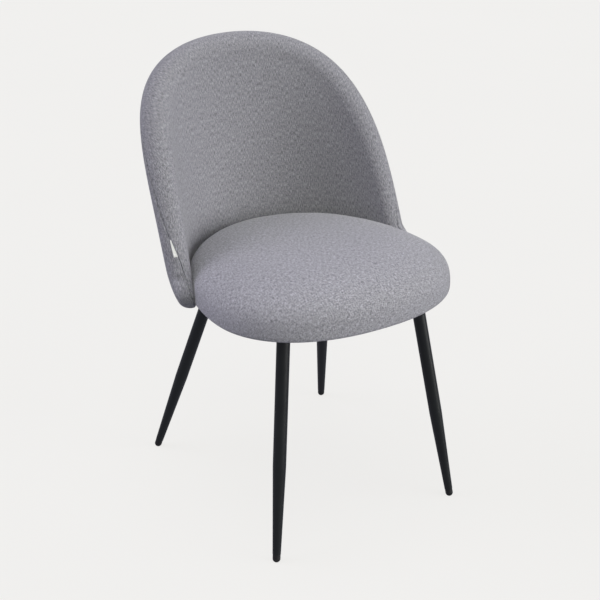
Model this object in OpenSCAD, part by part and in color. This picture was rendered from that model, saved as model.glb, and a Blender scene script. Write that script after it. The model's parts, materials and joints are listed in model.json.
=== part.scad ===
// Dining chair with a wrap-around upholstered back on four splayed metal legs.
// Millimetres, +Z up, the sitter faces -Y, the floor is z = 0 and x = 0 is the mirror plane.
// The soft parts are closed rings of points skinned into solids; wood and metal are exact.

/* [Seat cushion] */
// half width of the seat at its widest
seat_half_width = 215.5; // [180:0.5:240]
// reach of the seat in front of its widest line
seat_front_reach = 154.5; // [120:0.5:200]
// reach of the seat behind its widest line
seat_rear_reach = 281.5; // [220:0.5:320]
// y of the widest line of the seat
seat_centre_y = -102.5; // [-130:0.5:-80]
// squareness of the front half of the outline
seat_front_power = 2.22; // [2:0.01:3]
// height of the widest line of the seat
seat_waist_z = 397; // [360:0.5:430]
// rise of the crown above the widest line
seat_crown = 88.5; // [60:0.5:120]
// squareness of the crown in section
seat_crown_power = 2.62; // [2:0.01:4]
// forward rise of the crown, mm per mm
seat_crown_tilt = 0.022; // [0:0.001:0.05]
// drop from the widest line to the flat underside
seat_drop = 6; // [6:0.5:20]
// width of the rounded lower edge
seat_lower_round = 20; // [10:0.5:30]

/* [Seat board and cloth] */
// board outline as a share of the seat outline
board_share = 0.9; // [0.8:0.01:0.95]
// thickness of the plywood board
board_t = 12; // [9:0.5:18]
// inner edge of the turned-in cloth, share of the seat outline
turn_in_share = 0.84; // [0.7:0.01:0.88]
// thickness of the woven cover
cloth_t = 1.2; // [0.8:0.1:2]
// dust cover outline, share of the seat outline
dust_share = 0.88; // [0.8:0.01:0.9]
// thickness of the non-woven dust cover
dust_t = 0.6; // [0.4:0.1:1]

/* [Back shell] */
// half width of the shell mid-surface at the reference height
shell_half_width = 228; // [200:0.5:250]
// growth of that half width, mm per mm of height
shell_width_slope = -0.046; // [-0.1:0.001:0.1]
// depth of the plan ellipse at the reference height
shell_depth = 272; // [200:0.5:320]
// growth of that depth, mm per mm of height
shell_depth_slope = -0.494; // [-0.6:0.001:0.1]
// y of the middle of the back at the reference height
shell_back_y = 198; // [160:0.5:230]
// backward lean of the middle of the back, mm per mm
shell_lean = 0.109; // [0:0.001:0.4]
// height the slopes start from
shell_ref_z = 450; // [400:1:500]
// half of the wrap angle at the arms
shell_wrap = 69.7; // [50:0.1:85]
// height of the widest wrap
shell_wide_z = 433; // [400:0.5:520]
// height of the top of the mid-surface
shell_top_z = 741.5; // [680:0.5:800]
// height of the bottom of the mid-surface
shell_low_z = 375; // [350:0.5:420]
// squareness of the arch: sideways and upward
arch_power = [2.1, 3.68];
// squareness of the lower corners: sideways and downward
corner_power = [2.13, 3.24];
// how much further forward the arms reach at their lower ends, as a share of the wrap
corner_flare = 0.28; // [0:0.01:0.35]
// half thickness of the padded shell at the reference height
shell_half_t = 18; // [12:0.5:30]
// growth of that half thickness, mm per mm of height
shell_t_slope = 0.035; // [0:0.001:0.06]
// loss of half thickness towards the bottom edge, mm per mm below the widest height
edge_thinning = 0.1; // [0:0.01:0.3]
// extra padding on the rear of the lower part
rear_full = 3.6; // [0:0.1:8]
// height where half of that extra padding is left
rear_full_z = 644; // [480:1:700]
// distance over which it fades
rear_full_fade = 45; // [10:1:80]
// half thickness of the moulded plywood
panel_half_t = 4.5; // [3:0.5:8]

/* [Legs] */
// foot of a front leg, x and y on the floor
front_foot = [182.5, -229.8];
// foot of a rear leg, x and y on the floor
rear_foot = [188.4, 203.8];
// lean of a front leg per mm of height, x and y
front_lean = [-0.1346, 0.1496];
// lean of a rear leg per mm of height, x and y
rear_lean = [-0.1978, -0.3134];
// radius of the leg tube
tube_r = 11; // [8:0.5:16]
// radius of the leg at its tip
tip_r = 6.6; // [5:0.1:10]
// height where the taper starts
taper_z = 165; // [80:1:250]
// wall of the leg tube
tube_wall = 1.5; // [1:0.1:3]
// height of the lower end of the tube
tube_end_z = 14; // [8:1:30]
// side of the square leg plate
plate_w = 64; // [50:1:90]
// thickness of the leg plate
plate_t = 3; // [2:0.5:5]
// corner radius of the plate around the tube
plate_corner_r = 16; // [12:0.5:20]

/* [Brackets and fasteners] */
// sideways place of each back bracket
bracket_x = 46; // [30:1:60]
// width of a bracket
bracket_w = 30; // [25:1:50]
// thickness of a bracket
bracket_t = 3; // [2:0.5:5]
// length of the flat tab under the seat
bracket_tab = 104; // [80:1:140]
// height of the upright tab
bracket_rise = 46; // [35:1:60]
// nominal bolt radius
bolt_r = 3; // [2.5:0.5:4]
// clearance radius of bolt holes
bolt_hole_r = 3.3; // [3:0.1:5]
// radius of a bolt head
head_r = 5.6; // [4:0.1:8]
// height of a bolt head
head_h = 3.4; // [2:0.1:6]
// radius of the tee nut flange
tee_flange_r = 9; // [7:0.5:12]
// thickness of the tee nut flange
tee_flange_t = 1.2; // [1:0.1:2]
// radius of the tee nut barrel
tee_barrel_r = 4; // [3.5:0.1:6]

/* [Label] */
// where the blank side label starts and ends round the rim, in degrees from +X
label_dirs = [174.4, 169.6];
// width of the label at its lower and upper end
label_w = [6.6, 1.2];
// thickness of the folded label
label_t = 0.8; // [0.4:0.1:2]

/* [Hidden] */
$fn = 48;
seat_steps = 64;
shell_steps = 60;
centre_z = 560;
under_z = seat_waist_z - seat_drop;
dust_z = under_z - dust_t;
plate_z = dust_z - plate_t;
board_top_z = under_z + board_t;
// sections of the crown, from the widest line to the top
crown_angles = [3, 8, 15, 24, 35, 48, 62, 76];
// sections across the shell, share of the way from rim to middle
flat_shares = [0.1, 0.25, 0.4, 0.55, 0.7, 0.85];

// ---- shared helpers -------------------------------------------------------------------

function unit(v) = v / norm(v);
function sgn_pow(v, e) = sign(v) * pow(abs(v), e);

// Skins a stack of equal rings into one solid; the first and last ring close on a point each.
module skin(first, rings, last) {
  m = len(rings[0]);
  n = len(rings);
  points = concat([first], [for (r = rings) for (p = r) p], [last]);
  top = [for (i = [0:m - 1]) [0, 1 + i, 1 + (i + 1) % m]];
  wall = [for (k = [0:n - 2]) for (i = [0:m - 1]) for (t = [0:1])
    let (a = 1 + k * m + i, b = 1 + k * m + (i + 1) % m, c = a + m, d = b + m)
      t == 0 ? [a, c, b] : [b, c, d]];
  end = [for (i = [0:m - 1]) let (a = 1 + (n - 1) * m) [1 + n * m, a + (i + 1) % m, a + i]];
  polyhedron(points, concat(top, wall, end), convexity = 6);
}

// ---- seat shapes ----------------------------------------------------------------------

// One point of the seat outline: a = 0..360 from +X, shrunk by an inset in mm and a share.
function seat_xy(a, share = 1, inset = 0) =
  let (front = sin(a) < 0, e = 2 / (front ? seat_front_power : 2),
       reach = (front ? seat_front_reach : seat_rear_reach) - inset)
    [share * (seat_half_width - inset) * sgn_pow(cos(a), e),
     seat_centre_y + share * reach * sgn_pow(sin(a), e)];

function seat_outline(share, inset = 0) =
  [for (i = [0:seat_steps - 1]) seat_xy(360 * i / seat_steps, share, inset)];

function seat_flat_ring(share, z, inset = 0) = [for (p = seat_outline(share, inset)) [p.x, p.y, z]];

// Crown section at angle v: 0 is the widest line and 90 the top.
function seat_crown_ring(v, inset = 0) =
  let (e = 2 / seat_crown_power, share = pow(cos(v), e), rise = pow(sin(v), e))
    [for (p = seat_outline(share, inset))
      [p.x, p.y, seat_waist_z + (seat_crown - inset - seat_crown_tilt * (p.y - seat_centre_y)) * rise]];

// Lower edge section at angle v: 0 is the widest line and 90 the flat underside.
function seat_edge_ring(v, inset = 0) =
  let (cut = (seat_lower_round - inset) * (1 - cos(v)))
    [for (p = seat_outline(1, inset + cut)) [p.x, p.y, seat_waist_z - (seat_drop - inset) * sin(v)]];

function seat_top(inset = 0) = [0, seat_centre_y, seat_waist_z + seat_crown - inset];

function seat_skin_rings(inset) = concat(
  [for (i = [len(crown_angles) - 1:-1:0]) seat_crown_ring(crown_angles[i], inset)],
  [for (v = [0, 25, 50, 75]) seat_edge_ring(v, inset)]);

// Plan polygon of the board or the dust cover.
module seat_slab(share, z, t) {
  translate([0, 0, z]) linear_extrude(t) polygon(seat_outline(share));
}

// ---- back shell shapes ----------------------------------------------------------------

function shell_a(z) = shell_half_width + shell_width_slope * (z - shell_ref_z);
function shell_b(z) = shell_depth + shell_depth_slope * (z - shell_ref_z);
function shell_cy(z) = shell_back_y + shell_lean * (z - shell_ref_z) - shell_b(z);
function shell_r(z) = shell_half_t + shell_t_slope * (z - shell_ref_z)
  - edge_thinning * max(0, shell_wide_z - z);
function rear_pad(z) = rear_full / (1 + exp((z - rear_full_z) / rear_full_fade));

// Point and outward normal of the mid-surface; p = [wrap angle, height].
function mid_point(p) = [shell_a(p[1]) * sin(p[0]), shell_cy(p[1]) + shell_b(p[1]) * cos(p[0]), p[1]];
function mid_normal(p) =
  let (a = shell_a(p[1]), b = shell_b(p[1]), s = sin(p[0]), c = cos(p[0]))
    unit([s / a, c / b, -(s * s * shell_width_slope / a
      + c * (shell_lean - shell_depth_slope) / b + c * c * shell_depth_slope / b)]);

// Length of the ray (c, s) out to the curve |x|^k + |y|^m = 1.
function ray(c, s, k, m, lo = 0.9, hi = 1.45, n = 20) =
  let (r = (lo + hi) / 2)
    n == 0 ? r : pow(r * c, k) + pow(r * s, m) > 1 ? ray(c, s, k, m, lo, r, n - 1) : ray(c, s, k, m, r, hi, n - 1);

// Rim of the mid-surface at direction t, as [wrap angle, height].
function rim(t) =
  let (up = sin(t) >= 0, e = up ? arch_power : corner_power,
       tall = up ? shell_top_z - shell_wide_z : shell_wide_z - shell_low_z,
       q = ray(abs(cos(t)), abs(sin(t)), e[0], e[1]), flare = 1 + corner_flare * pow(max(0, -q * sin(t)), 1.5))
    [shell_wrap * q * cos(t) * flare, shell_wide_z + tall * q * sin(t)];

function inner(t, u) = let (r = rim(t)) [r[0] * (1 - u), r[1] + (centre_z - r[1]) * u];

// Direction in the surface that points out of the rim.
function rim_out(t) =
  let (n = mid_normal(rim(t)), along = mid_point(rim(t + 0.5)) - mid_point(rim(t - 0.5)))
    unit(cross(n, along));

// Point on the round rim: beta = -90 is the sitter's side, 90 the rear; off = distance from the mid-line.
function rim_point(t, beta, off) =
  let (q = rim(t), r = shell_r(q[1]) + off)
    mid_point(q) + r * (cos(beta) * rim_out(t) + sin(beta) * mid_normal(q))
      + rear_pad(q[1]) * max(0, sin(beta)) * mid_normal(q);

// Height-dependent place of the seam on the round rim.
function seam_beta(z) = z > 460 ? 62 * (1 - exp(-(z - 460) / 70)) : 0.5 * (z - 460);

function rim_ring(beta, off) = [for (t = shell_dirs()) rim_point(t, beta, off)];
function shell_dirs() = [for (i = [0:shell_steps - 1]) -360 * i / shell_steps];
// Ring on the round rim, a share of the way from beta0 to the seam.
function seam_ring(beta0, share, off) =
  [for (t = shell_dirs()) rim_point(t, beta0 + share * (seam_beta(rim(t)[1]) - beta0), off)];
function flat_point(p, d) = mid_point(p) + d * mid_normal(p);
function skin_d(p, side, off) = side * (shell_r(p[1]) + off) + (side > 0 ? rear_pad(p[1]) : 0);
function flat_ring(u, side, off) =
  [for (t = shell_dirs()) let (p = inner(t, u)) flat_point(p, skin_d(p, side, off))];
function ply_ring(u, d) = [for (t = shell_dirs()) flat_point(inner(t, u), d)];
function skin_centre(side, off) = flat_point([0, centre_z], skin_d([0, centre_z], side, off));
function ply_centre(d) = flat_point([0, centre_z], d);

shares_in = [for (i = [len(flat_shares) - 1:-1:0]) flat_shares[i]];

// Frame on the plywood where a bracket is bolted; z along the outward normal.
function bracket_wrap(side) = side * asin(bracket_x / shell_a(under_z));
function bracket_turn(side) = let (n = mid_normal([bracket_wrap(side), under_z])) atan2(-n.x, n.y);
function bracket_lean(side) = let (n = mid_normal([bracket_wrap(side), under_z + 25])) asin(-n.z);

// Origin on the sitter's face of the plywood at the height of the seat underside, y pointing back.
module on_bracket(side) {
  p = mid_point([bracket_wrap(side), under_z]);
  n = mid_normal([bracket_wrap(side), under_z]);
  face = p - (panel_half_t + 0.9) * n;
  translate([face.x, face.y, dust_z]) rotate([0, 0, bracket_turn(side)]) children();
}

module on_upright(side) {
  on_bracket(side) rotate([-bracket_lean(side), 0, 0]) children();
}

// Bolt places: heights up the upright tab and distances along the flat tab.
upright_bolts = [16, 36];
tab_bolts = [72, 93];

// ---- leg placing ----------------------------------------------------------------------

LEGS = [["front_left", -1, front_foot, front_lean], ["front_right", 1, front_foot, front_lean],
        ["rear_left", -1, rear_foot, rear_lean], ["rear_right", 1, rear_foot, rear_lean]];

// Moves to the foot with +Z along the leaning leg; side mirrors the left legs.
module on_leg(i) {
  side = LEGS[i][1];
  foot = LEGS[i][2];
  lean = LEGS[i][3];
  translate([side * foot.x, foot.y, 0])
    rotate([0, 0, atan2(lean.y, side * lean.x)])
      rotate([0, atan(norm(lean)), 0]) children();
}

function along(i, z) = z * sqrt(1 + LEGS[i][3].x * LEGS[i][3].x + LEGS[i][3].y * LEGS[i][3].y);
function leg_top(i) = let (f = LEGS[i][2], l = LEGS[i][3])
  [LEGS[i][1] * (f.x + l.x * plate_z), f.y + l.y * plate_z];
// Inward direction of the plate from the tube.
function plate_dir(i) = [-LEGS[i][1], LEGS[i][2].y < 0 ? 1 : -1];
function plate_bolts(i) = let (c = leg_top(i), d = plate_dir(i), far = plate_w - plate_corner_r - 12, near = -4)
  [[c.x + d.x * far, c.y + d.y * far], [c.x + d.x * near, c.y + d.y * far], [c.x + d.x * far, c.y + d.y * near]];
function all_leg_bolts() = [for (i = [0:3]) for (p = plate_bolts(i)) p];

module leg(i) {
  low = along(i, tube_end_z);
  bend = along(i, taper_z);
  high = along(i, plate_z + 20);
  color("#23282a") difference() {
    on_leg(i) rotate_extrude() polygon([
      [leg_r(tube_end_z) - tube_wall, low], [leg_r(tube_end_z), low], [tube_r, bend], [tube_r, high],
      [tube_r - tube_wall, high], [tube_r - tube_wall, bend]]);
    translate([-400, -400, plate_z]) cube([800, 800, 200]);
  }
}

function leg_r(z) = tip_r + (tube_r - tip_r) * z / taper_z;

module leg_plate(i) {
  c = leg_top(i);
  d = plate_dir(i);
  color("#1d2022") translate([0, 0, plate_z]) difference() {
    intersection() {
      translate([c.x, c.y, 0]) linear_extrude(plate_t) polygon(plate_outline(d));
      translate([c.x, c.y, -1]) cylinder(h = plate_t + 2, r = plate_w * 1.2, $fn = 48);
    }
    for (p = plate_bolts(i)) translate([p.x, p.y, -1]) cylinder(h = plate_t + 2, r = bolt_hole_r);
  }
}

// Square with a round corner about the tube and small clipped corners elsewhere.
function plate_outline(d) =
  let (r = plate_corner_r, w = plate_w - r, c = 6,
       pts = concat([for (a = [180:15:270]) [r * cos(a), r * sin(a)]],
                    [[w - c, -r], [w, -r + c], [w, w - c], [w - c, w], [-r + c, w], [-r, w - c]]))
    d.x * d.y > 0 ? [for (p = pts) [d.x * p.x, d.y * p.y]]
                  : [for (k = [len(pts) - 1:-1:0]) [d.x * pts[k].x, d.y * pts[k].y]];

module foot_glide(i) {
  color("#101112") difference() {
    on_leg(i) union() {
      cylinder(h = along(i, tube_end_z), r = tip_r);
      translate([0, 0, along(i, tube_end_z) - 0.1])
        cylinder(h = 12.1, r1 = leg_r(tube_end_z) - tube_wall - 0.1, r2 = leg_r(tube_end_z + 12) - tube_wall - 0.1);
    }
    on_leg(i) difference() {
      translate([0, 0, -20]) cylinder(h = 26, r = 20);
      translate([0, 0, 6]) sphere(r = tip_r);
      translate([0, 0, 6]) cylinder(h = 5, r = tip_r);
    }
    translate([-400, -400, -60]) cube([800, 800, 60]);
  }
}

module leg_welds() {
  color("#23282a") for (i = [0:3]) intersection() {
    on_leg(i) translate([0, 0, along(i, plate_z - 12)]) difference() {
      cylinder(h = 60, r = tube_r + 3);
      translate([0, 0, -1]) cylinder(h = 62, r = tube_r);
    }
    translate([-400, -400, plate_z - 3]) cube([800, 800, 3]);
  }
}

// ---- fasteners ------------------------------------------------------------------------

// Pan-head bolt, head below z = 0 and shank above.
module bolt(shank) {
  translate([0, 0, -head_h]) cylinder(h = head_h, r1 = head_r - 1, r2 = head_r);
  translate([0, 0, -0.01]) cylinder(h = shank + 0.01, r = bolt_r);
}

// Tee nut, flange top at z = 0 and barrel below.
module tee_nut(barrel) {
  difference() {
    union() {
      translate([0, 0, -tee_flange_t]) cylinder(h = tee_flange_t, r = tee_flange_r);
      translate([0, 0, -barrel]) cylinder(h = barrel, r = tee_barrel_r);
    }
    translate([0, 0, -barrel - 1]) cylinder(h = barrel + 2, r = bolt_r + 0.05);
  }
}

module leg_bolts() {
  color("#8f9396") for (p = all_leg_bolts()) translate([p.x, p.y, plate_z]) bolt(plate_t + dust_t + board_t - 1);
}

module leg_tee_nuts() {
  color("#a8a59a") for (p = all_leg_bolts()) translate([p.x, p.y, board_top_z]) tee_nut(board_t - 1);
}

module bracket_tab_places(side) {
  on_bracket(side) for (d = tab_bolts) translate([0, -d, 0]) children();
}

module bracket_seat_bolts() {
  color("#8f9396") for (side = [-1, 1]) bracket_tab_places(side)
    translate([0, 0, -bracket_t]) bolt(bracket_t + dust_t + board_t - 1);
}

module bracket_seat_tee_nuts() {
  color("#a8a59a") for (side = [-1, 1]) bracket_tab_places(side)
    translate([0, 0, dust_t + board_t]) tee_nut(board_t - 1);
}

module bracket_upright_places(side) {
  on_upright(side) for (h = upright_bolts) translate([0, 0, h]) rotate([-90, 0, 0]) children();
}

module bracket_back_bolts() {
  color("#8f9396") for (side = [-1, 1]) bracket_upright_places(side)
    translate([0, 0, -bracket_t]) bolt(bracket_t + 2 * panel_half_t - 0.5);
}

module bracket_back_tee_nuts() {
  color("#a8a59a") for (side = [-1, 1]) bracket_upright_places(side)
    translate([0, 0, 2 * panel_half_t]) tee_nut(2 * panel_half_t - 1);
}

// ---- seat parts -----------------------------------------------------------------------

module seat_board() {
  color("#c9a878") difference() {
    seat_slab(board_share, under_z, board_t);
    difference() {
      seat_slab(board_share + 0.05, under_z - 1, cloth_t + 1);
      seat_slab(turn_in_share, under_z - 2, cloth_t + 4);
    }
    for (p = all_leg_bolts()) translate([p.x, p.y, 0]) {
      translate([0, 0, under_z - 1]) cylinder(h = board_t + 2, r = tee_barrel_r);
      translate([0, 0, board_top_z - tee_flange_t]) cylinder(h = 5, r = tee_flange_r);
    }
    for (side = [-1, 1]) bracket_tab_places(side) {
      cylinder(h = 30, r = tee_barrel_r);
      translate([0, 0, dust_t + board_t - tee_flange_t]) cylinder(h = 5, r = tee_flange_r);
    }
  }
}

module seat_foam() {
  color("#e9dfae") skin(seat_top(cloth_t),
    concat(seat_skin_rings(cloth_t),
           [seat_flat_ring(board_share, under_z + cloth_t), seat_flat_ring(board_share, board_top_z)]),
    [0, seat_centre_y, board_top_z]);
}

module seat_cover() {
  color("#98979c") difference() {
    skin(seat_top(),
      concat(seat_skin_rings(0),
             [seat_flat_ring(turn_in_share, under_z), seat_flat_ring(turn_in_share, under_z + cloth_t),
              seat_flat_ring(board_share, under_z + cloth_t)],
             [for (v = [75, 50, 25, 0]) seat_edge_ring(v, cloth_t)],
             [for (v = crown_angles) seat_crown_ring(v, cloth_t)]),
      seat_top(cloth_t));
  }
}

module dust_cover() {
  color("#2a2a2b") difference() {
    seat_slab(dust_share, dust_z, dust_t);
    for (p = all_leg_bolts()) translate([p.x, p.y, dust_z - 1]) cylinder(h = 3, r = bolt_hole_r);
    for (side = [-1, 1]) bracket_tab_places(side) translate([0, 0, -1]) cylinder(h = 3, r = bolt_hole_r);
  }
}

// Crowns of the staples that hold the dust cover, kept clear of plates and brackets.
staple_angles = [0, 14, 28, 110, 152, 166, 180, 194, 206, 236, 250, 262, 278, 290, 304, 334, 346, 70];

module dust_cover_staples() {
  color("#9a9da0") for (a = staple_angles) {
    p = seat_xy(a, dust_share - 0.015);
    q = seat_xy(a + 1, dust_share - 0.015) - seat_xy(a - 1, dust_share - 0.015);
    translate([p.x, p.y, dust_z - 0.5]) rotate([0, 0, atan2(q.y, q.x)])
      translate([-5, -0.6, 0]) cube([10, 1.2, 0.5]);
  }
}

// ---- back parts -----------------------------------------------------------------------

module back_panel() {
  d = panel_half_t;
  color("#c9a878") difference() {
    skin(ply_centre(-d),
      concat([for (u = shares_in) ply_ring(u, -d)], [ply_ring(0, -d), ply_ring(0, d)],
             [for (u = flat_shares) ply_ring(u, d)]),
      ply_centre(d));
    for (side = [-1, 1]) bracket_upright_places(side) {
      translate([0, 0, -3]) cylinder(h = 20, r = tee_barrel_r);
      translate([0, 0, 2 * d - tee_flange_t]) cylinder(h = 8, r = tee_flange_r);
    }
  }
}

// Room in the soft parts for a bracket, its slot and its bolt heads.
module bracket_room(side) {
  on_upright(side) translate([-bracket_w / 2 - 1, -bracket_t - head_h - 0.6, -bracket_t - 1.6])
    cube([bracket_w + 2, bracket_t + head_h + 2.6, bracket_rise + bracket_t + 2.6]);
  on_bracket(side) translate([-bracket_w / 2 - 1, -60, -bracket_t - 1])
    cube([bracket_w + 2, 60, bracket_t + 2]);
}

module back_foam_front() {
  f = -cloth_t;
  color("#e9dfae") resize([0, 0, 0]) difference() {
    skin(skin_centre(-1, f),
      concat([for (u = shares_in) flat_ring(u, -1, f)],
             [for (b = [-90, -60, -30, 0]) rim_ring(b, f)],
             [ply_ring(0, 0), ply_ring(0, -panel_half_t)],
             [for (u = flat_shares) ply_ring(u, -panel_half_t)]),
      ply_centre(-panel_half_t));
    for (side = [-1, 1]) bracket_room(side);
  }
}

module back_foam_rear() {
  f = -cloth_t;
  color("#e9dfae") skin(ply_centre(panel_half_t),
    concat([for (u = shares_in) ply_ring(u, panel_half_t)],
           [ply_ring(0, panel_half_t), ply_ring(0, 0)],
           [for (b = [0, 30, 60, 90]) rim_ring(b, f)],
           [for (u = flat_shares) flat_ring(u, 1, f)]),
    skin_centre(1, f));
}

module back_cover_front() {
  f = -cloth_t;
  color("#98979c") resize([0, 0, 0]) difference() {
    skin(skin_centre(-1, 0),
      concat([for (u = shares_in) flat_ring(u, -1, 0)],
             [for (s = [0, 0.25, 0.5, 0.75, 1]) seam_ring(-90, s, 0)],
             [for (s = [1, 0.75, 0.5, 0.25, 0]) seam_ring(-90, s, f)],
             [for (u = flat_shares) flat_ring(u, -1, f)]),
      skin_centre(-1, f));
    for (side = [-1, 1]) bracket_room(side);
  }
}

module back_cover_rear() {
  f = -cloth_t;
  color("#8f8e94") skin(skin_centre(1, f),
    concat([for (u = shares_in) flat_ring(u, 1, f)],
           [for (s = [0, 0.33, 0.67, 1]) seam_ring(90, s, f)],
           [for (s = [1, 0.67, 0.33, 0]) seam_ring(90, s, 0)],
           [for (u = flat_shares) flat_ring(u, 1, 0)]),
    skin_centre(1, 0));
}

// Side profile of a bracket: flat tab, bend and leaning upright, as [y, z].
function bracket_profile(side) =
  let (t = bracket_t, a = bracket_lean(side), s = sin(a), c = cos(a), h = bracket_rise)
    [[-bracket_tab, -t], [-t * s / c, -t], [h * s, h * c], [h * s - t * c, h * c + t * s],
     [-t / c, 0], [-bracket_tab, 0]];

module back_bracket(side) {
  color("#1d2022") difference() {
    on_bracket(side) translate([-bracket_w / 2, 0, 0]) rotate([90, 0, 90])
      linear_extrude(bracket_w) polygon(bracket_profile(side));
    bracket_tab_places(side) translate([0, 0, -bracket_t - 1]) cylinder(h = bracket_t + 2, r = bolt_hole_r);
    bracket_upright_places(side) translate([0, 0, -bracket_t - 1]) cylinder(h = bracket_t + 2, r = bolt_hole_r);
  }
}

// ---- label ----------------------------------------------------------------------------

// Blank ribbon held in the left seam, lying back along the rear cover.
module label_tag() {
  rows = [for (k = [0, 1]) let (t = label_dirs[k], b = seam_beta(rim(t)[1]), root = rim_point(t, b, 0.1),
    away = unit(rim_point(t, b + 20, 1.6) - rim_point(t, b, 0.1)),
    up = unit(rim_point(t, b, 5) - rim_point(t, b, 0)))
      [root, root + label_w[k] * away, root + label_w[k] * away + label_t * up, root + label_t * up]];
  quads = [[0, 1, 2, 3], [7, 6, 5, 4], [0, 4, 5, 1], [1, 5, 6, 2], [2, 6, 7, 3], [3, 7, 4, 0]];
  faces = [for (q = quads) for (k = [1, 2]) [q[0], q[k], q[k + 1]]];
  color("#f2f2f0") polyhedron(concat(rows[0], rows[1]), faces);
}

// ---- nodes ----------------------------------------------------------------------------

seat_board();
seat_foam();
seat_cover();
dust_cover();
dust_cover_staples();
leg(0);  // leg_front_left
leg(1);  // leg_front_right
leg(2);  // leg_rear_left
leg(3);  // leg_rear_right
leg_plate(0);  // leg_plate_front_left
leg_plate(1);  // leg_plate_front_right
leg_plate(2);  // leg_plate_rear_left
leg_plate(3);  // leg_plate_rear_right
foot_glide(0);  // foot_glide_front_left
foot_glide(1);  // foot_glide_front_right
foot_glide(2);  // foot_glide_rear_left
foot_glide(3);  // foot_glide_rear_right
leg_welds();
leg_bolts();
leg_tee_nuts();
back_panel();
back_foam_front();
back_foam_rear();
back_cover_front();
back_cover_rear();
back_bracket(-1);  // back_bracket_left
back_bracket(1);  // back_bracket_right
bracket_seat_bolts();
bracket_seat_tee_nuts();
bracket_back_bolts();
bracket_back_tee_nuts();
label_tag();
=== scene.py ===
import json
import math

import bmesh
import bpy
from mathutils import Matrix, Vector, noise


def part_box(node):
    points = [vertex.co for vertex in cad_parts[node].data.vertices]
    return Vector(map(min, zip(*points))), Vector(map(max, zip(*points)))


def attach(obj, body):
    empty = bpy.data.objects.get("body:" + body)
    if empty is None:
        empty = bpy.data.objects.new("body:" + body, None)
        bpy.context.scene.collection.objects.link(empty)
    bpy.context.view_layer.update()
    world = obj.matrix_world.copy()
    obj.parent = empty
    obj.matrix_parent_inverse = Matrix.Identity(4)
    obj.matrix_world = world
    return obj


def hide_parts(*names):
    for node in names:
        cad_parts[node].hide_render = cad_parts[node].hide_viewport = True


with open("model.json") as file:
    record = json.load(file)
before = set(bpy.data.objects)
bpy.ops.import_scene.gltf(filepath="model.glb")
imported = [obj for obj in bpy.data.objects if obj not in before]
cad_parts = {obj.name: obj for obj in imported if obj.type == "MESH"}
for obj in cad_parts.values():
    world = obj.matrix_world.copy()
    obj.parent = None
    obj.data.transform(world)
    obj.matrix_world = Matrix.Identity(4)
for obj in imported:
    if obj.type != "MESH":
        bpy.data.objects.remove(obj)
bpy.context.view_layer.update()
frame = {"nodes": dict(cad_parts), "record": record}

scene = bpy.context.scene

# ---- sizes, in metres ------------------------------------------------------------------

SEAT_LO, SEAT_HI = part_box("seat_cover")
BOARD_TOP_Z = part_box("seat_board")[1][2]

# Outlines are (half width, front reach, rear reach, centre y, front power). The board and the
# turned-in cloth keep the CAD outline; the cushion is a little wider and fuller.
BOARD_CENTRE_Y = -0.1025
BOARD_OUTLINE = ((SEAT_HI[0] - SEAT_LO[0]) / 2, BOARD_CENTRE_Y - SEAT_LO[1],
                 SEAT_HI[1] - BOARD_CENTRE_Y, BOARD_CENTRE_Y, 2.22)
SEAT_OUTLINE = (0.2182, 0.1650, 0.2705, -0.0960, 2.26)
SEAT_UNDER_Z = SEAT_LO[2]
SEAT_WAIST_Z = SEAT_UNDER_Z + 0.0071
SEAT_CROWN = 0.0805
CROWN_POWER = 3.0
CROWN_TILT = 0.0142
LOWER_ROUND = 0.0227
UNDER_SWELL = 0.0012
CROWN_PATCH_SHARE = 0.90
SEAT_SINK = 0.0004
BOARD_FIT = 0.901
TURN_IN_SHARE = 0.84
SIDE_RINGS = 16
CLOTH = 0.0012

# The middle surface of the back is part of an oval tube. At SHELL_REF_Z its half width is A, its
# depth B, its rearmost line Y and half its padded thickness R, and each changes with height.
SHELL_A, SHELL_A_SLOPE = 0.228, -0.046
SHELL_B, SHELL_B_SLOPE = 0.272, -0.494
SHELL_Y, SHELL_LEAN = 0.198, 0.109
SHELL_REF_Z = 0.450
SHELL_R, SHELL_R_SLOPE = 0.018, 0.035
# Its outline: half the angle it wraps, the heights of its ends, and the powers of its round ends.
WRAP = math.radians(69.7)
WIDE_Z, TOP_Z, LOW_Z = 0.433, 0.7415, 0.373
ARCH, CORNER, FLARE = (2.1, 3.68), (2.13, 3.24), 0.28
CENTRE_Z = 0.560
# The padding is thinner at the lower edge and fuller low on the rear, and the arms curl in low down.
EDGE_THINNING = 0.1
REAR_FULL, REAR_FULL_Z, REAR_FADE = 0.0036, 0.644, 0.045
TUCK_Z, TUCK_FALL, TUCK_IN = 0.416, 0.040, 0.0150
PANEL_HALF = 0.0045
PANEL_GAP = 0.0002

# The seam runs nearer the rear of the rim above SEAM_Z, and crosses to the sitter's side below it.
SEAM_Z = 0.460
SEAM_REAR_ANGLE, SEAM_FADE = 62, 0.070
SEAM_LOW_SLOPE = 500
SEAM_ROLL = 0.0020
SEAM_GAP = 0.00012
BACK_SINK = 0.0003
WRAP_RINGS = 14

# Squares across each face; its border has four times as many points.
GRID = 60


# ---- shell shape -----------------------------------------------------------------------

def shell_a(z):
    return SHELL_A + SHELL_A_SLOPE * (z - SHELL_REF_Z)


def shell_b(z):
    return SHELL_B + SHELL_B_SLOPE * (z - SHELL_REF_Z)


def shell_r(z):
    return SHELL_R + SHELL_R_SLOPE * (z - SHELL_REF_Z) - EDGE_THINNING * max(0.0, WIDE_Z - z)


def rear_pad(z):
    """Extra padding on the rear of the lower part."""
    return REAR_FULL / (1 + math.exp((z - REAR_FULL_Z) / REAR_FADE))


def mid_point(q):
    """A point of the middle surface of the back; q = (wrap angle, height)."""
    w, z = q
    cy = SHELL_Y + SHELL_LEAN * (z - SHELL_REF_Z) - shell_b(z)
    return Vector((shell_a(z) * math.sin(w), cy + shell_b(z) * math.cos(w), z))


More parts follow.
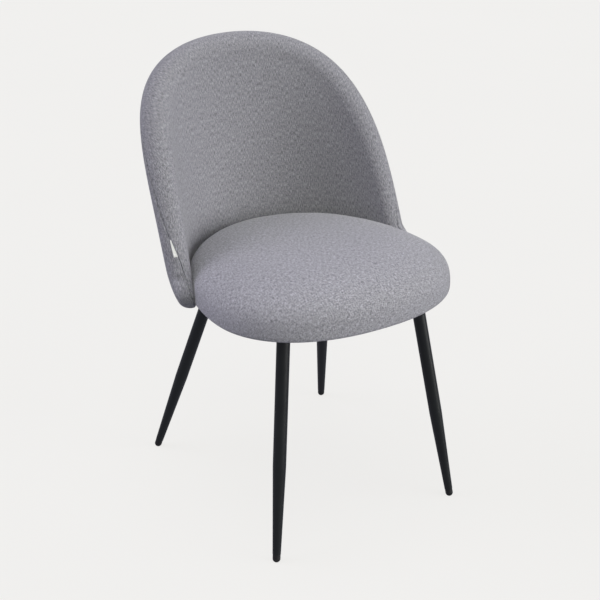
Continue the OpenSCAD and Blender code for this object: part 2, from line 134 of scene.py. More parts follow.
def mid_normal(q):
    """The outward (rearward) unit normal of the middle surface."""
    w, z = q
    a, b, s, c = shell_a(z), shell_b(z), math.sin(w), math.cos(w)
    nz = s * s * SHELL_A_SLOPE / a + c * (SHELL_LEAN - SHELL_B_SLOPE) / b + c * c * SHELL_B_SLOPE / b
    return Vector((s / a, c / b, -nz)).normalized()


def ray(c, s, powers):
    """Length of the ray (c, s) out to |x|^k + |y|^m = 1."""
    lo, hi = 0.9, 1.45
    for _ in range(30):
        r = (lo + hi) / 2
        if (r * c) ** powers[0] + (r * s) ** powers[1] > 1:
            hi = r
        else:
            lo = r
    return (lo + hi) / 2


def rim(t):
    """Outline of the middle surface at direction t, as (wrap angle, height)."""
    c, s = math.cos(t), math.sin(t)
    tall = TOP_Z - WIDE_Z if s >= 0 else WIDE_Z - LOW_Z
    q = ray(abs(c), abs(s), ARCH if s >= 0 else CORNER)
    flare = 1 + FLARE * max(0.0, -q * s) ** 1.5
    return (WRAP * q * c * flare, WIDE_Z + tall * q * s)


def rim_out(t):
    """Unit vector in the surface that points out of the rim."""
    along = mid_point(rim(t + 0.008)) - mid_point(rim(t - 0.008))
    return mid_normal(rim(t)).cross(along).normalized()


def seam_beta(z):
    """Where the seam runs on the round rim: 90 degrees is the rear, -90 the sitter's side."""
    if z > SEAM_Z:
        return math.radians(SEAM_REAR_ANGLE * (1 - math.exp(-(z - SEAM_Z) / SEAM_FADE)))
    return math.radians(SEAM_LOW_SLOPE * (z - SEAM_Z))


# ---- seat shape ------------------------------------------------------------------------

def signed_pow(v, e):
    """|v| to the power e, with the sign of v."""
    return math.copysign(abs(v) ** e, v)


def oval(outline, a, share, inset=0.0):
    """A point of an outline at angle a, pulled in by a distance and by a share."""
    half_width, front_reach, rear_reach, centre_y, front_power = outline
    front = math.sin(a) < 0
    e = 2 / (front_power if front else 2.0)
    reach = (front_reach if front else rear_reach) - inset
    return Vector((share * (half_width - inset) * signed_pow(math.cos(a), e),
                   centre_y + share * reach * signed_pow(math.sin(a), e), 0))


def seat_xy(a, share=1.0, inset=0.0):
    """A point of the cushion's widest line."""
    return oval(SEAT_OUTLINE, a, share, inset)


def board_xy(a, share, z):
    """A point of a shape parallel to the seat board's edge, at height z."""
    return oval(BOARD_OUTLINE, a, share) + Vector((0, 0, z))


# ---- mesh helpers ----------------------------------------------------------------------

def evenly(curve, count, start):
    """Parameters that split a closed curve of angle into equal lengths, from start, anticlockwise."""
    steps = 1440
    ts = [start + math.tau * i / steps for i in range(steps + 1)]
    pts = [curve(t) for t in ts]
    run = [0.0]
    for p, q in zip(pts, pts[1:]):
        run.append(run[-1] + (q - p).length)
    out, k = [], 0
    for j in range(count):
        goal = run[-1] * j / count
        while run[k + 1] < goal:
            k += 1
        f = (goal - run[k]) / (run[k + 1] - run[k])
        out.append(ts[k] + f * (ts[k + 1] - ts[k]))
    return out


def disc(n):
    """A square grid bent into a unit disc: points, quads, and the border in anticlockwise order."""
    pts, index = [], {}
    for j in range(n + 1):
        for i in range(n + 1):
            s, t = 2 * i / n - 1, 2 * j / n - 1
            index[i, j] = len(pts)
            pts.append((s * math.sqrt(1 - t * t / 2), t * math.sqrt(1 - s * s / 2)))
    quads = [(index[i, j], index[i + 1, j], index[i + 1, j + 1], index[i, j + 1])
             for j in range(n) for i in range(n)]
    walk = [(n, j) for j in range(n // 2, n)] + [(i, n) for i in range(n, 0, -1)]
    walk += [(0, j) for j in range(n, 0, -1)] + [(i, 0) for i in range(0, n)]
    walk += [(n, j) for j in range(0, n // 2)]
    return pts, quads, [index[w] for w in walk]


class Skin:
    """A closed mesh: a patch, rings of points round it, and a second patch that closes it."""

    def __init__(self, n=GRID):
        self.pts, self.quads, self.border = disc(n)
        self.verts, self.cloth, self.faces, self.free = [], [], [], []
        self.last = None

    def add(self, point, cloth, free):
        """Adds a point; free is how far the simulation may move it, 0 to 1."""
        self.verts.append(Vector(point))
        self.cloth.append((cloth[0], cloth[1], 0.0))
        self.free.append(free)
        return len(self.verts) - 1

    def patch(self, place, free=0.0):
        """place(radius, angle) -> (point, cloth place). Starts the skin or closes it."""
        ids = []
        close = self.last is not None
        for k, (x, y) in enumerate(self.pts):
            if close and k in self.border:
                ids.append(self.last[self.border.index(k)])
                continue
            r, a = math.hypot(x, y), math.atan2(y, x)
            point, cloth = place(min(r, 1.0), a)
            ids.append(self.add(point, cloth, free(r) if callable(free) else free))
        for q in self.quads:
            f = [ids[v] for v in q]
            self.faces.append(f[::-1] if close else f)
        self.last = [ids[b] for b in self.border]

    def ring(self, points, cloths, free=0.0):
        """Adds a ring of points joined to the last border."""
        ids = [self.add(p, c, free) for p, c in zip(points, cloths)]
        m = len(ids)
        for i in range(m):
            j = (i + 1) % m
            self.faces.append([self.last[j], self.last[i], ids[i], ids[j]])
        self.last = ids

    def build(self, name, flip=False):
        """Makes the object, with the cloth places as an attribute and the pinned points as a group."""
        mesh = bpy.data.meshes.new(name)
        faces = [f[::-1] for f in self.faces] if flip else self.faces
        mesh.from_pydata([tuple(v) for v in self.verts], [], faces)
        mesh.validate()
        at = mesh.attributes.new("cloth", "FLOAT_VECTOR", "POINT")
        at.data.foreach_set("vector", [c for co in self.cloth for c in co])
        for poly in mesh.polygons:
            poly.use_smooth = True
        obj = bpy.data.objects.new(name, mesh)
        scene.collection.objects.link(obj)
        group = obj.vertex_groups.new(name="held")
        for i, f in enumerate(self.free):
            group.add([i], 1.0 - f, "REPLACE")
        return obj


def puff(obj, pressure, cap, frames=20):
    """Cloth simulation: the loose part of a closed pad swells a little, no point moving past cap.

    Where the swelling top draws the cloth inwards, the padding holds it back.
    """
    rest = [v.co.copy() for v in obj.data.vertices]
    outward = [v.normal.copy() for v in obj.data.vertices]
    mod = obj.modifiers.new("Cloth", "CLOTH")
    s = mod.settings
    s.quality = 6
    s.mass = 0.25
    s.tension_stiffness = 25
    s.compression_stiffness = 25
    s.shear_stiffness = 12
    s.bending_stiffness = 1.0
    s.use_pressure = True
    s.uniform_pressure_force = pressure
    s.effector_weights.gravity = 0
    s.vertex_group_mass = "held"
    s.pin_stiffness = 5
    mod.collision_settings.use_collision = False
    mod.point_cache.frame_start = 1
    mod.point_cache.frame_end = frames
    for f in range(1, frames + 1):
        scene.frame_set(f)
    view = bpy.context.evaluated_depsgraph_get()
    moved = [v.co.copy() for v in obj.evaluated_get(view).data.vertices]
    obj.modifiers.remove(mod)
    for v, n, a, b in zip(obj.data.vertices, outward, rest, moved):
        d = b - a
        d -= 0.9 * min(0.0, d.dot(n)) * n
        if d.length > cap:
            d *= cap / d.length
        v.co = a + d
    scene.frame_set(1)
    far = max((b - a).length for a, b in zip(rest, moved))
    print("puff", obj.name, "moved up to %.1f mm before the cap" % (far * 1000))


def refine(obj, levels=1):
    """Subdivides the mesh smoothly and keeps the result as the mesh."""
    mod = obj.modifiers.new("Smooth", "SUBSURF")
    mod.levels = mod.render_levels = levels
    view = bpy.context.evaluated_depsgraph_get()
    mesh = bpy.data.meshes.new_from_object(obj.evaluated_get(view))
    obj.modifiers.clear()
    old = obj.data
    obj.data = mesh
    bpy.data.meshes.remove(old)


# ---- back upholstery -------------------------------------------------------------------

BORDER = 4 * GRID
RIM_T = evenly(lambda t: mid_point(rim(t)), BORDER, 0.0)
RIM_Q = [rim(t) for t in RIM_T]
RIM_O = [rim_out(t) for t in RIM_T]
RIM_N = [mid_normal(q) for q in RIM_Q]
RIM_P = [mid_point(q) for q in RIM_Q]
CLOTH_R = 0.235


def flat_cloth(q):
    """Where a point of the back lies on the flat cloth: across and up."""
    return (q[0] * CLOTH_R, q[1])


RIM_C = [flat_cloth(q) for q in RIM_Q]
RIM_CO = []
for j in range(BORDER):
    p, q = RIM_C[j - 1], RIM_C[(j + 1) % BORDER]
    d = Vector((q[1] - p[1], p[0] - q[0]))
    RIM_CO.append(d.normalized())


def lumps(p, size, seed):
    """Slow unevenness of hand-fitted padding, -1 to 1."""
    return noise.noise(Vector((p[0] / size + seed, p[1] / size, p[2] / size)))


def tucked(p):
    """The lowest part of each arm curls in under the cushion."""
    low = min(1.2, max(0.0, (TUCK_Z - p.z) / TUCK_FALL))
    share = min(1.0, max(0.0, (abs(p.x) - 0.12) / 0.07))
    return p - Vector((math.copysign(TUCK_IN * low ** 2 * share, p.x), 0, 0))


def border_at(angle):
    """Values at a direction between two rim points: index pair and mix."""
    f = (angle % math.tau) / math.tau * BORDER
    j = int(f) % BORDER
    return j, (j + 1) % BORDER, f - int(f)


def inner_q(r, angle):
    """(wrap angle, height) a share r of the way from the middle of the back to its rim."""
    j, k, f = border_at(angle)
    w = RIM_Q[j][0] * (1 - f) + RIM_Q[k][0] * f
    z = RIM_Q[j][1] * (1 - f) + RIM_Q[k][1] * f
    return (w * r, CENTRE_Z + (z - CENTRE_Z) * r)


def back_face(side):
    """place() for a face of the padded back, sunk a little to leave room to swell."""
    def place(r, angle):
        q = inner_q(r, angle)
        d = shell_r(q[1]) + (rear_pad(q[1]) if side > 0 else 0.0)
        loose = 1 - r ** 6
        p = mid_point(q) + side * (d - BACK_SINK * loose) * mid_normal(q)
        p += side * 0.0005 * loose * lumps(p, 0.055, 3 + side) * mid_normal(q)
        return p, flat_cloth(q)
    return place


def ply_face(side):
    """place() for the hidden face against the plywood panel."""
    def place(r, angle):
        q = inner_q(r, angle)
        return mid_point(q) + side * (PANEL_HALF + PANEL_GAP) * mid_normal(q), flat_cloth(q)
    return place


def rim_points(side, betas, depth=0.0):
    """Ring on the round rim at the angles betas, a depth below its surface, and its cloth places."""
    pts, cloths = [], []
    for j, b in enumerate(betas):
        z = RIM_Q[j][1]
        r = shell_r(z) - depth
        p = RIM_P[j] + r * (math.cos(b) * RIM_O[j] + math.sin(b) * RIM_N[j])
        pts.append(p + rear_pad(z) * max(0.0, math.sin(b)) * RIM_N[j])
        turned = abs(b) if b * side < 0 else -abs(b)
        c = Vector(RIM_C[j]) + shell_r(z) * (math.pi / 2 + turned) * RIM_CO[j]
        cloths.append((c.x, c.y))
    return pts, cloths


def back_pad(name, side):
    """One side of the back: cloth over foam, rolled in at the seam, closed against the plywood.

    side is -1 for the sitter's side and 1 for the rear.
    """
    skin = Skin()
    skin.patch(back_face(side), free=lambda r: max(0.0, 1 - r ** 8))
    seam = [seam_beta(q[1]) for q in RIM_Q]
    radius = [shell_r(q[1]) for q in RIM_Q]
    start = side * math.pi / 2
    for i in range(1, WRAP_RINGS + 1):
        share = 1 - (1 - i / WRAP_RINGS) ** 1.6
        betas = [start + share * (b + side * SEAM_ROLL / r - start) for b, r in zip(seam, radius)]
        pts, cloths = rim_points(side, betas)
        skin.ring(pts, cloths, free=max(0.0, 0.5 - 0.5 * share))
    for degrees in (22, 45, 68, 90):
        u = math.radians(degrees)
        gap = SEAM_ROLL * (1 - math.sin(u)) + SEAM_GAP
        betas = [b + side * gap / r for b, r in zip(seam, radius)]
        skin.ring(*rim_points(side, betas, SEAM_ROLL * (1 - math.cos(u))))
    for depth in (0.005, 0.009):
        skin.ring(*rim_points(side, [b + side * 0.01 for b in seam], depth))
    for height in (0.0003, PANEL_HALF + PANEL_GAP):
        skin.ring([p + side * height * n for p, n in zip(RIM_P, RIM_N)], RIM_C)
    skin.patch(ply_face(side))
    pad = skin.build(name, flip=side > 0)
    for v in pad.data.vertices:
        v.co = tucked(v.co)
    return pad


back_inner = back_pad("back_inner_upholstery", -1)
back_outer = back_pad("back_outer_upholstery", 1)

# ---- seat upholstery -------------------------------------------------------------------

SEAT_A = evenly(seat_xy, BORDER, 0.0)


def seat_angle(angle):
    """The outline's own angle for a direction on the disc."""
    j, k, f = border_at(angle)
    a, b = SEAT_A[j], SEAT_A[k]
    if b < a:
        b += math.tau
    return a + (b - a) * f


def crown_rise(share):
    """Height share of the crown at a share of the way out to the widest line."""
    return (1 - min(share, 1.0) ** CROWN_POWER) ** (1 / CROWN_POWER)


def seat_point(share, a, rise, sink=0.0):
    """A point of the crown; sink leaves room to swell."""
    p = seat_xy(a, share)
    tilt = CROWN_TILT * (p.y - SEAT_OUTLINE[3])
    p.z = SEAT_WAIST_Z + (SEAT_CROWN - sink - tilt) * rise
    return p


def seat_crown(r, angle):
    """place() for the middle of the crown."""
    share = CROWN_PATCH_SHARE * r
    p = seat_point(share, seat_angle(angle), crown_rise(share), SEAT_SINK)
    p.z += 0.0006 * (1 - r ** 4) * lumps(p, 0.07, 11)
    return p, (p.x, p.y)


def seat_under(r, angle):
    """place() for the hidden face on top of the board."""
    p = board_xy(seat_angle(angle), BOARD_FIT * r, BOARD_TOP_Z + PANEL_GAP)
    return p, (p.x, p.y)


def seat_pad(name):
    """The cushion: crowned top, full sides, cloth turned in under the board."""
    skin = Skin()
    skin.patch(seat_crown, free=1.0)
    rise = crown_rise(CROWN_PATCH_SHARE)
    top = [seat_point(CROWN_PATCH_SHARE, a, rise, SEAT_SINK) for a in SEAT_A]
    outward = []
    for j in range(BORDER):
        t = seat_xy(SEAT_A[(j + 1) % BORDER]) - seat_xy(SEAT_A[j - 1])
        outward.append(Vector((t.y, -t.x, 0)).normalized())
    run = [0.0] * BORDER
    before = top

    def put(points, free=0.0):
        """Adds a ring; the cloth runs on outwards by the distance from the ring before."""
        nonlocal before
        cloths = []
        for j, p in enumerate(points):
            run[j] += (p - before[j]).length
            c = top[j] + outward[j] * run[j]
            cloths.append((c.x, c.y))
        skin.ring(points, cloths, free)
        before = points

    v0 = math.acos(CROWN_PATCH_SHARE ** (CROWN_POWER / 2))
    for i in range(1, SIDE_RINGS + 1):
        v = v0 * (1 - i / SIDE_RINGS) ** 1.35
        share = math.cos(v) ** (2 / CROWN_POWER)
        rise = math.sin(v) ** (2 / CROWN_POWER) if v > 0 else 0.0
        put([seat_point(share, a, rise, SEAT_SINK * rise) for a in SEAT_A], 1.0 if i < 13 else 0.6)
    drop = SEAT_WAIST_Z - SEAT_UNDER_Z
    for v in (18, 36, 54, 72, 90):
        u = math.radians(v)
        ring = []
        for a in SEAT_A:
            p = seat_xy(a, 1.0, LOWER_ROUND * (1 - math.cos(u)))
            p.z = SEAT_WAIST_Z - (drop + UNDER_SWELL) * math.sin(u)
            ring.append(p)
        put(ring)
    turned_in = ((0.868, SEAT_UNDER_Z), (0.855, SEAT_UNDER_Z), (TURN_IN_SHARE, SEAT_UNDER_Z),
                 (TURN_IN_SHARE, SEAT_UNDER_Z + CLOTH - 0.0001), (BOARD_FIT, SEAT_UNDER_Z + CLOTH),
                 (BOARD_FIT, BOARD_TOP_Z + PANEL_GAP))
    for share, z in turned_in:
        put([board_xy(a, share, z) for a in SEAT_A])
    skin.patch(seat_under)
    return skin.build(name)


seat = seat_pad("seat_upholstery")

PRESSURE = 4.0
for pad, cap in ((seat, 0.0014), (back_inner, 0.0010), (back_outer, 0.0010)):
    puff(pad, PRESSURE, cap)
    refine(pad)

# ---- label -----------------------------------------------------------------------------

LABEL_FROM, LABEL_TO = math.radians(174.4), math.radians(169.6)
LABEL_ROWS = 12
# In millimetres, like the ribbon's path.
LABEL_HALF_THICK = 0.16
LABEL_FOLD = 0.42


def ribbon_path(width, lift):
    """Centre line of a folded ribbon, in mm: root, out, fold and back, as (along, up)."""
    out = [(width * i / 8, lift * (i / 8) ** 1.5) for i in range(9)]
    x, y = out[-1]
    fold = []
    for degrees in (45, 90, 135, 180):
        u = math.radians(degrees)
        fold.append((x + LABEL_FOLD * math.sin(u), y + LABEL_FOLD - LABEL_FOLD * math.cos(u)))
    back = [(out[i][0], out[i][1] + 2 * LABEL_FOLD * (0.35 + 0.65 * i / 8)) for i in range(7, -1, -1)]
    return out + fold + back


def thick_line(path, half):
    """The closed outline, as (along, up), of a line drawn with a thickness of twice half."""
    left, right = [], []
    for k, (x, y) in enumerate(path):
        x0, y0 = path[max(k - 1, 0)]
        x1, y1 = path[min(k + 1, len(path) - 1)]
        d = math.hypot(x1 - x0, y1 - y0)
        nx, ny = -(y1 - y0) / d * half, (x1 - x0) / d * half
        left.append((x + nx, y + ny))
        right.append((x - nx, y - ny))
    return left + right[::-1]


def label(name):
    """Blank folded ribbon sewn in the left seam."""
    verts, faces = [], []
    for i in range(LABEL_ROWS + 1):
        s = i / LABEL_ROWS
        t = LABEL_FROM + (LABEL_TO - LABEL_FROM) * s
        q = rim(t)
        b = seam_beta(q[1])
        o, n = rim_out(t), mid_normal(q)
        up = (math.cos(b) * o + math.sin(b) * n).normalized()
        away = (-math.sin(b) * o + math.cos(b) * n).normalized()
        root = mid_point(q) + (shell_r(q[1]) - 0.0004) * up
        path = ribbon_path(6.6 - 5.4 * s, 1.4 * (1 - s) + 0.4)
        loop = [root + (away * x + up * y) / 1000 for x, y in thick_line(path, LABEL_HALF_THICK)]
        m = len(loop)
        base = len(verts)
        verts += loop
        if i:
            for k in range(m):
                j = (k + 1) % m
                faces.append((base - m + k, base - m + j, base + j, base + k))
    for base in (0, LABEL_ROWS * m):
        for k in range(m // 2 - 1):
            faces.append((base + k, base + m - 1 - k, base + m - 2 - k, base + k + 1))
    mesh = bpy.data.meshes.new(name)
    mesh.from_pydata([tuple(v) for v in verts], [], faces)
    bm = bmesh.new()
    bm.from_mesh(mesh)
    bmesh.ops.recalc_face_normals(bm, faces=bm.faces)
    bm.to_mesh(mesh)
    bm.free()
    for p in mesh.polygons:
        p.use_smooth = True
    obj = bpy.data.objects.new(name, mesh)
    scene.collection.objects.link(obj)
    return obj


side_label = label("side_label")

# ---- materials -------------------------------------------------------------------------


class Nodes:
    """Short ways to build a node material."""

    def __init__(self, name):
        self.mat = bpy.data.materials.new(name)
        self.mat.use_nodes = True
        self.tree = self.mat.node_tree
        self.tree.nodes.clear()
        self.out = self.tree.nodes.new("ShaderNodeOutputMaterial")
        self.bsdf = self.tree.nodes.new("ShaderNodeBsdfPrincipled")
        self.link(self.bsdf.outputs[0], self.out.inputs[0])

    def link(self, a, b):
        self.tree.links.new(a, b)

    def new(self, kind, **sockets):
        n = self.tree.nodes.new("ShaderNode" + kind)
        for key, value in sockets.items():
            self.put(n.inputs[key.replace("_", " ")], value)
        return n

    def put(self, socket, value):
        if isinstance(value, bpy.types.NodeSocket):
            self.link(value, socket)
        else:
            socket.default_value = value

    def math(self, op, a, b=0.0):
        n = self.tree.nodes.new("ShaderNodeMath")
        n.operation = op
        self.put(n.inputs[0], a)
        self.put(n.inputs[1], b)
        return n.outputs[0]

    def scaled(self, vector, scale):
        n = self.tree.nodes.new("ShaderNodeVectorMath")
        n.operation = "MULTIPLY"
        self.put(n.inputs[0], vector)
        n.inputs[1].default_value = scale
        return n.outputs[0]

    def noise(self, vector, detail=2.0, rough=0.5):
        n = self.new("TexNoise", Scale=1.0, Detail=detail, Roughness=rough)
        self.put(n.inputs["Vector"], vector)
        return n.outputs["Fac"]

    def ramp(self, fac, stops):
        n = self.tree.nodes.new("ShaderNodeValToRGB")
        self.put(n.inputs[0], fac)
        e = n.color_ramp.elements
        while len(e) < len(stops):
            e.new(0.5)
        for k, (pos, col) in enumerate(stops):
            e[k].position = pos
            e[k].color = (*col, 1)
        return n.outputs[0]

    def tint(self, fac, colour, other):
        """Mixes a colour socket with a fixed colour."""
        n = self.tree.nodes.new("ShaderNodeMix")
        n.data_type = "RGBA"
        self.put(n.inputs[0], fac)
        self.put(n.inputs[6], colour)
        self.put(n.inputs[7], (*other, 1))
        return n.outputs[2]

    def bump(self, height, distance, strength):
        n = self.new("Bump", Height=height, Distance=distance, Strength=strength)
        self.link(n.outputs[0], self.bsdf.inputs["Normal"])

    def set(self, **sockets):
        for key, value in sockets.items():
            self.put(self.bsdf.inputs[key.replace("_", " ")], value)

    def attribute(self, name):
        n = self.tree.nodes.new("ShaderNodeAttribute")
        n.attribute_name = name
        return n.outputs["Vector"]

    def place(self):
        return self.tree.nodes.new("ShaderNodeTexCoord").outputs["Object"]


YARN_PITCH = 0.0014


def melange(name, base, warp_amount, weft_amount, fleck_amount, slub=0.0):
    """Woven melange cloth of mixed greys, read from the cloth coordinates; slub favours the warp."""
    n = Nodes(name)
    co = n.attribute("cloth")
    warp = n.noise(n.scaled(co, (720.0 + 180.0 * slub, 150.0, 1.0)), detail=2.0, rough=0.6)
    weft = n.noise(n.scaled(co, (150.0, 720.0, 1.0)), detail=2.0, rough=0.6)
    fleck = n.noise(n.scaled(co, (400.0, 400.0, 1.0)), detail=3.0, rough=0.7)
    cloud = n.noise(n.scaled(co, (16.0, 16.0, 1.0)), detail=2.0)
    tone = 0.5
    for part, amount in ((warp, warp_amount), (weft, weft_amount), (fleck, fleck_amount), (cloud, 0.05)):
        tone = n.math("ADD", n.math("MULTIPLY", n.math("SUBTRACT", part, 0.5), amount), tone)
    dark = tuple(c * 0.40 for c in base)
    light = tuple(min(1.0, c * 1.75) for c in base)
    colour = n.ramp(tone, ((0.08, dark), (0.5, base), (0.92, light)))
    pitch = math.pi / YARN_PITCH
    wave = n.tree.nodes.new("ShaderNodeSeparateXYZ")
    n.put(wave.inputs[0], n.scaled(co, (pitch, pitch, 1.0)))
    over = n.math("MULTIPLY", n.math("SINE", wave.outputs[0]), n.math("SINE", wave.outputs[1]))
    height = n.math("ADD", n.math("MULTIPLY", over, 0.35), n.math("MULTIPLY", fleck, 0.35 - 0.15 * slub))
    height = n.math("ADD", height, n.math("MULTIPLY", warp, 0.3 + 0.1 * slub))
    height = n.math("ADD", height, n.math("MULTIPLY", weft, 0.3 - 0.15 * slub))
    n.bump(height, 0.00035, 0.9)
    n.set(Base_Color=colour, Roughness=0.92)
    n.bsdf.inputs["Sheen Weight"].default_value = 0.25
    n.bsdf.inputs["Sheen Roughness"].default_value = 0.45
    n.bsdf.inputs["Specular IOR Level"].default_value = 0.15
    return n.mat


def powder_coat(name):
    """Satin black powder coat with a faint orange peel and slight polish wear."""
    n = Nodes(name)
    co = n.place()
    peel = n.noise(n.scaled(co, (900.0, 900.0, 900.0)), detail=1.0)
    patch = n.noise(n.scaled(co, (14.0, 14.0, 14.0)), detail=3.0)
    colour = n.ramp(patch, ((0.3, (0.006, 0.008, 0.0085)), (0.7, (0.010, 0.0125, 0.013))))
    rough = n.math("ADD", 0.30, n.math("MULTIPLY", patch, 0.12))
    n.bump(peel, 0.00006, 0.5)
    n.set(Base_Color=colour, Roughness=rough)
    n.bsdf.inputs["Specular IOR Level"].default_value = 0.5
    n.bsdf.inputs["Coat Weight"].default_value = 0.12
    n.bsdf.inputs["Coat Roughness"].default_value = 0.25
    return n.mat


def plastic(name):
    """Moulded black plastic with a fine grain, scuffed paler in places."""
    n = Nodes(name)
    co = n.place()
    grain = n.noise(n.scaled(co, (1400.0, 1400.0, 1400.0)), detail=1.0)
    scuff = n.noise(n.scaled(co, (180.0, 180.0, 500.0)), detail=3.0)
    n.bump(grain, 0.00005, 0.6)
    n.set(Base_Color=n.ramp(scuff, ((0.35, (0.008, 0.008, 0.009)), (0.75, (0.022, 0.022, 0.023)))),
          Roughness=n.math("ADD", 0.42, n.math("MULTIPLY", scuff, 0.2)))
    return n.mat


def nonwoven(name):
    """Black spunbond cloth: matted fibres with a grid of weld points."""
    n = Nodes(name)
    co = n.place()
    fibre = n.noise(n.scaled(co, (420.0, 1500.0, 60.0)), detail=3.0, rough=0.7)
    cross = n.noise(n.scaled(co, (1500.0, 420.0, 60.0)), detail=3.0, rough=0.7)
    dots = n.tree.nodes.new("ShaderNodeTexVoronoi")
    dots.inputs["Scale"].default_value = 420.0
    dots.inputs["Randomness"].default_value = 0.15
    n.put(dots.inputs["Vector"], co)
    h = n.math("ADD", n.math("ADD", fibre, cross), n.math("MULTIPLY", dots.outputs["Distance"], 0.8))
    n.bump(h, 0.0003, 0.8)
    n.set(Base_Color=n.ramp(fibre, ((0.3, (0.012, 0.012, 0.013)), (0.75, (0.035, 0.035, 0.037)))),
          Roughness=0.95)
    n.bsdf.inputs["Sheen Weight"].default_value = 0.2
    return n.mat


def plywood(name):
    """Birch ply: straight face grain, layered edges by height."""
    n = Nodes(name)
    co = n.place()
    grain = n.noise(n.scaled(co, (260.0, 9.0, 30.0)), detail=5.0, rough=0.65)
    layer = n.noise(n.scaled(co, (2.0, 2.0, 700.0)), detail=0.0)
    face = n.ramp(grain, ((0.3, (0.46, 0.31, 0.17)), (0.7, (0.62, 0.46, 0.28))))
    n.bump(grain, 0.0002, 0.4)
    n.set(Base_Color=n.tint(n.math("MULTIPLY", layer, 0.35), face, (0.36, 0.23, 0.12)), Roughness=0.7)
    return n.mat


def zinc(name):
    """Bright zinc plate, lightly brushed."""
    n = Nodes(name)
    co = n.place()
    brush = n.noise(n.scaled(co, (900.0, 900.0, 120.0)), detail=3.0)
    n.bump(brush, 0.00004, 0.5)
    n.set(Base_Color=n.ramp(brush, ((0.3, (0.42, 0.42, 0.40)), (0.7, (0.60, 0.60, 0.57)))),
          Roughness=n.math("ADD", 0.28, n.math("MULTIPLY", brush, 0.2)))
    n.bsdf.inputs["Metallic"].default_value = 1.0
    return n.mat


def foam(name):
    """Pale yellow open-cell foam."""
    n = Nodes(name)
    co = n.place()
    cell = n.noise(n.scaled(co, (700.0, 700.0, 700.0)), detail=3.0)
    n.bump(cell, 0.0006, 0.8)
    n.set(Base_Color=n.ramp(cell, ((0.3, (0.66, 0.58, 0.34)), (0.7, (0.84, 0.77, 0.52)))), Roughness=0.95)
    return n.mat


def ribbon(name):
    """White satin ribbon with a fine cross rib."""
    n = Nodes(name)
    co = n.place()
    rib = n.noise(n.scaled(co, (300.0, 300.0, 2600.0)), detail=2.0)
    n.bump(rib, 0.00012, 0.6)
    n.set(Base_Color=n.ramp(rib, ((0.3, (0.78, 0.78, 0.77)), (0.7, (0.90, 0.90, 0.89)))), Roughness=0.55)
    n.bsdf.inputs["Sheen Weight"].default_value = 0.2
    return n.mat


def floor_paint(name):
    """Pale studio floor, lit through from below so that shadows on it stay faint."""
    n = Nodes(name)
    co = n.place()
    cloud = n.noise(n.scaled(co, (1.3, 1.3, 1.3)), detail=3.0)
    n.set(Base_Color=n.ramp(cloud, ((0.3, (0.098, 0.097, 0.096)), (0.7, (0.103, 0.102, 0.101)))),
          Roughness=0.9)
    n.bsdf.inputs["Specular IOR Level"].default_value = 0.0
    n.bsdf.inputs["Emission Color"].default_value = (1.0, 0.992, 0.974, 1)
    n.bsdf.inputs["Emission Strength"].default_value = 0.79
    return n.mat


GREY = (0.318, 0.314, 0.350)
SEAT_GREY_PAINTED_LIGHTER = tuple(1.19 * c for c in GREY)
# Painted light: the seat has the same cloth as the back, but its colour is painted 1.19 times paler to
# stand in for the stronger light and sheen on the seat's top.
seat_cloth_painted_lighter = melange("seat_cloth_painted_lighter", SEAT_GREY_PAINTED_LIGHTER, 1.1, 1.1, 0.9)
back_cloth = melange("back_cloth", GREY, 1.7, 0.4, 0.6, 1.0)
rear_cloth = melange("rear_cloth", GREY, 1.6, 0.5, 0.5, 0.5)
finishes = {
    "plywood": plywood("birch_ply"),
    "foam": foam("foam"),
    "woven_cover": seat_cloth_painted_lighter,
    "black_metal": powder_coat("powder_coat"),
    "black_plastic": plastic("moulded_black"),
    "dust_cloth": nonwoven("spunbond"),
    "bare_steel": zinc("zinc_plate"),
    "label_ribbon": ribbon("white_ribbon"),
}


def dress(obj, mat):
    """Gives every slot of obj the material."""
    if not obj.material_slots:
        obj.data.materials.append(mat)
    for s in obj.material_slots:
        s.material = mat


slot_of = {s["node"]: s["material_slot"] for s in frame["record"]["subparts"]}
for name, obj in frame["nodes"].items():
    dress(obj, finishes[slot_of[name]])

for obj, mat in ((seat, seat_cloth_painted_lighter), (back_inner, back_cloth), (back_outer, rear_cloth),
                 (side_label, finishes["label_ribbon"])):
    dress(obj, mat)

# ---- how the pieces ride ---------------------------------------------------------------

for obj, nodes, slot_name in (
        (seat, ("seat_cover", "seat_foam"), "woven_cover"),
        (back_inner, ("back_cover_front", "back_foam_front"), "woven_cover"),
        (back_outer, ("back_cover_rear", "back_foam_rear"), "woven_cover"),
        (side_label, ("label_tag",), "label_ribbon")):
    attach(obj, "root")
    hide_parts(*nodes)

# ---- floor, light and camera -----------------------------------------------------------

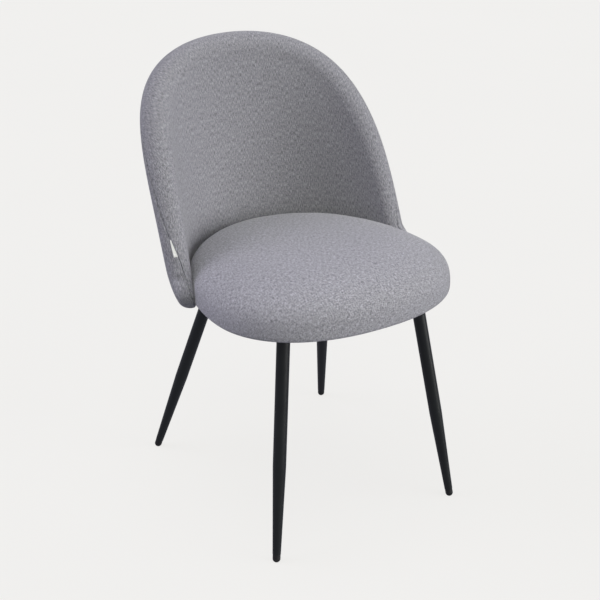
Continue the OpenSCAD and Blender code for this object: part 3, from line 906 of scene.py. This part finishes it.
floor_mesh = bpy.data.meshes.new("floor")
bm = bmesh.new()
bmesh.ops.create_grid(bm, x_segments=8, y_segments=8, size=30)
bm.to_mesh(floor_mesh)
bm.free()
floor = bpy.data.objects.new("floor", floor_mesh)
scene.collection.objects.link(floor)
dress(floor, floor_paint("floor_paint"))
floor.visible_diffuse = False
floor.visible_glossy = False

world = bpy.data.worlds.new("studio")
scene.world = world
world.use_nodes = True
studio = world.node_tree
# A dim lavender sky lights the chair, and the camera sees a pale backdrop that matches the floor.
sky = studio.nodes["Background"]
sky.inputs[0].default_value = (0.80, 0.80, 0.95, 1)
sky.inputs[1].default_value = 0.26
backdrop = studio.nodes.new("ShaderNodeBackground")
backdrop.inputs[0].default_value = (0.871, 0.863, 0.847, 1)
seen = studio.nodes.new("ShaderNodeLightPath")
either = studio.nodes.new("ShaderNodeMixShader")
for source, target in ((seen.outputs["Is Camera Ray"], either.inputs[0]),
                       (sky.outputs[0], either.inputs[1]),
                       (backdrop.outputs[0], either.inputs[2]),
                       (either.outputs[0], studio.nodes["World Output"].inputs[0])):
    studio.links.new(source, target)


SUN_SPREAD = math.radians(40)


def sun(name, source, strengths):
    """A distant soft light shining from the direction source; strengths are its red, green and blue."""
    data = bpy.data.lights.new(name, "SUN")
    data.energy = max(strengths)
    data.angle = SUN_SPREAD
    data.color = [v / data.energy for v in strengths]
    obj = bpy.data.objects.new(name, data)
    obj.rotation_euler = Vector(source).to_track_quat("Z", "Y").to_euler()
    scene.collection.objects.link(obj)


sun("right_key", (0.643, -0.737, 0.208), (1.87, 1.89, 1.80))
sun("left_rear_fill", (-0.693, 0.437, 0.574), (1.05, 1.01, 1.17))
sun("overhead", (-0.023, -0.047, 0.999), (0.82, 0.82, 0.80))
sun("front_fill", (-0.437, -0.693, 0.574), (0.30, 0.33, 0.16))
sun("right_fill", (0.214, -0.942, 0.259), (0.24, 0.22, 0.22))

cam_data = bpy.data.cameras.new("camera")
cam_data.sensor_width = 36
cam_data.lens = 72.12
cam = bpy.data.objects.new("camera", cam_data)
cam.location = (-1.01418, -1.62423, 1.23326)
view_back = Vector((-0.48305, -0.76733, 0.42176))
cam.rotation_euler = view_back.to_track_quat("Z", "Y").to_euler()
scene.collection.objects.link(cam)
scene.camera = cam
scene.view_settings.view_transform = "Standard"
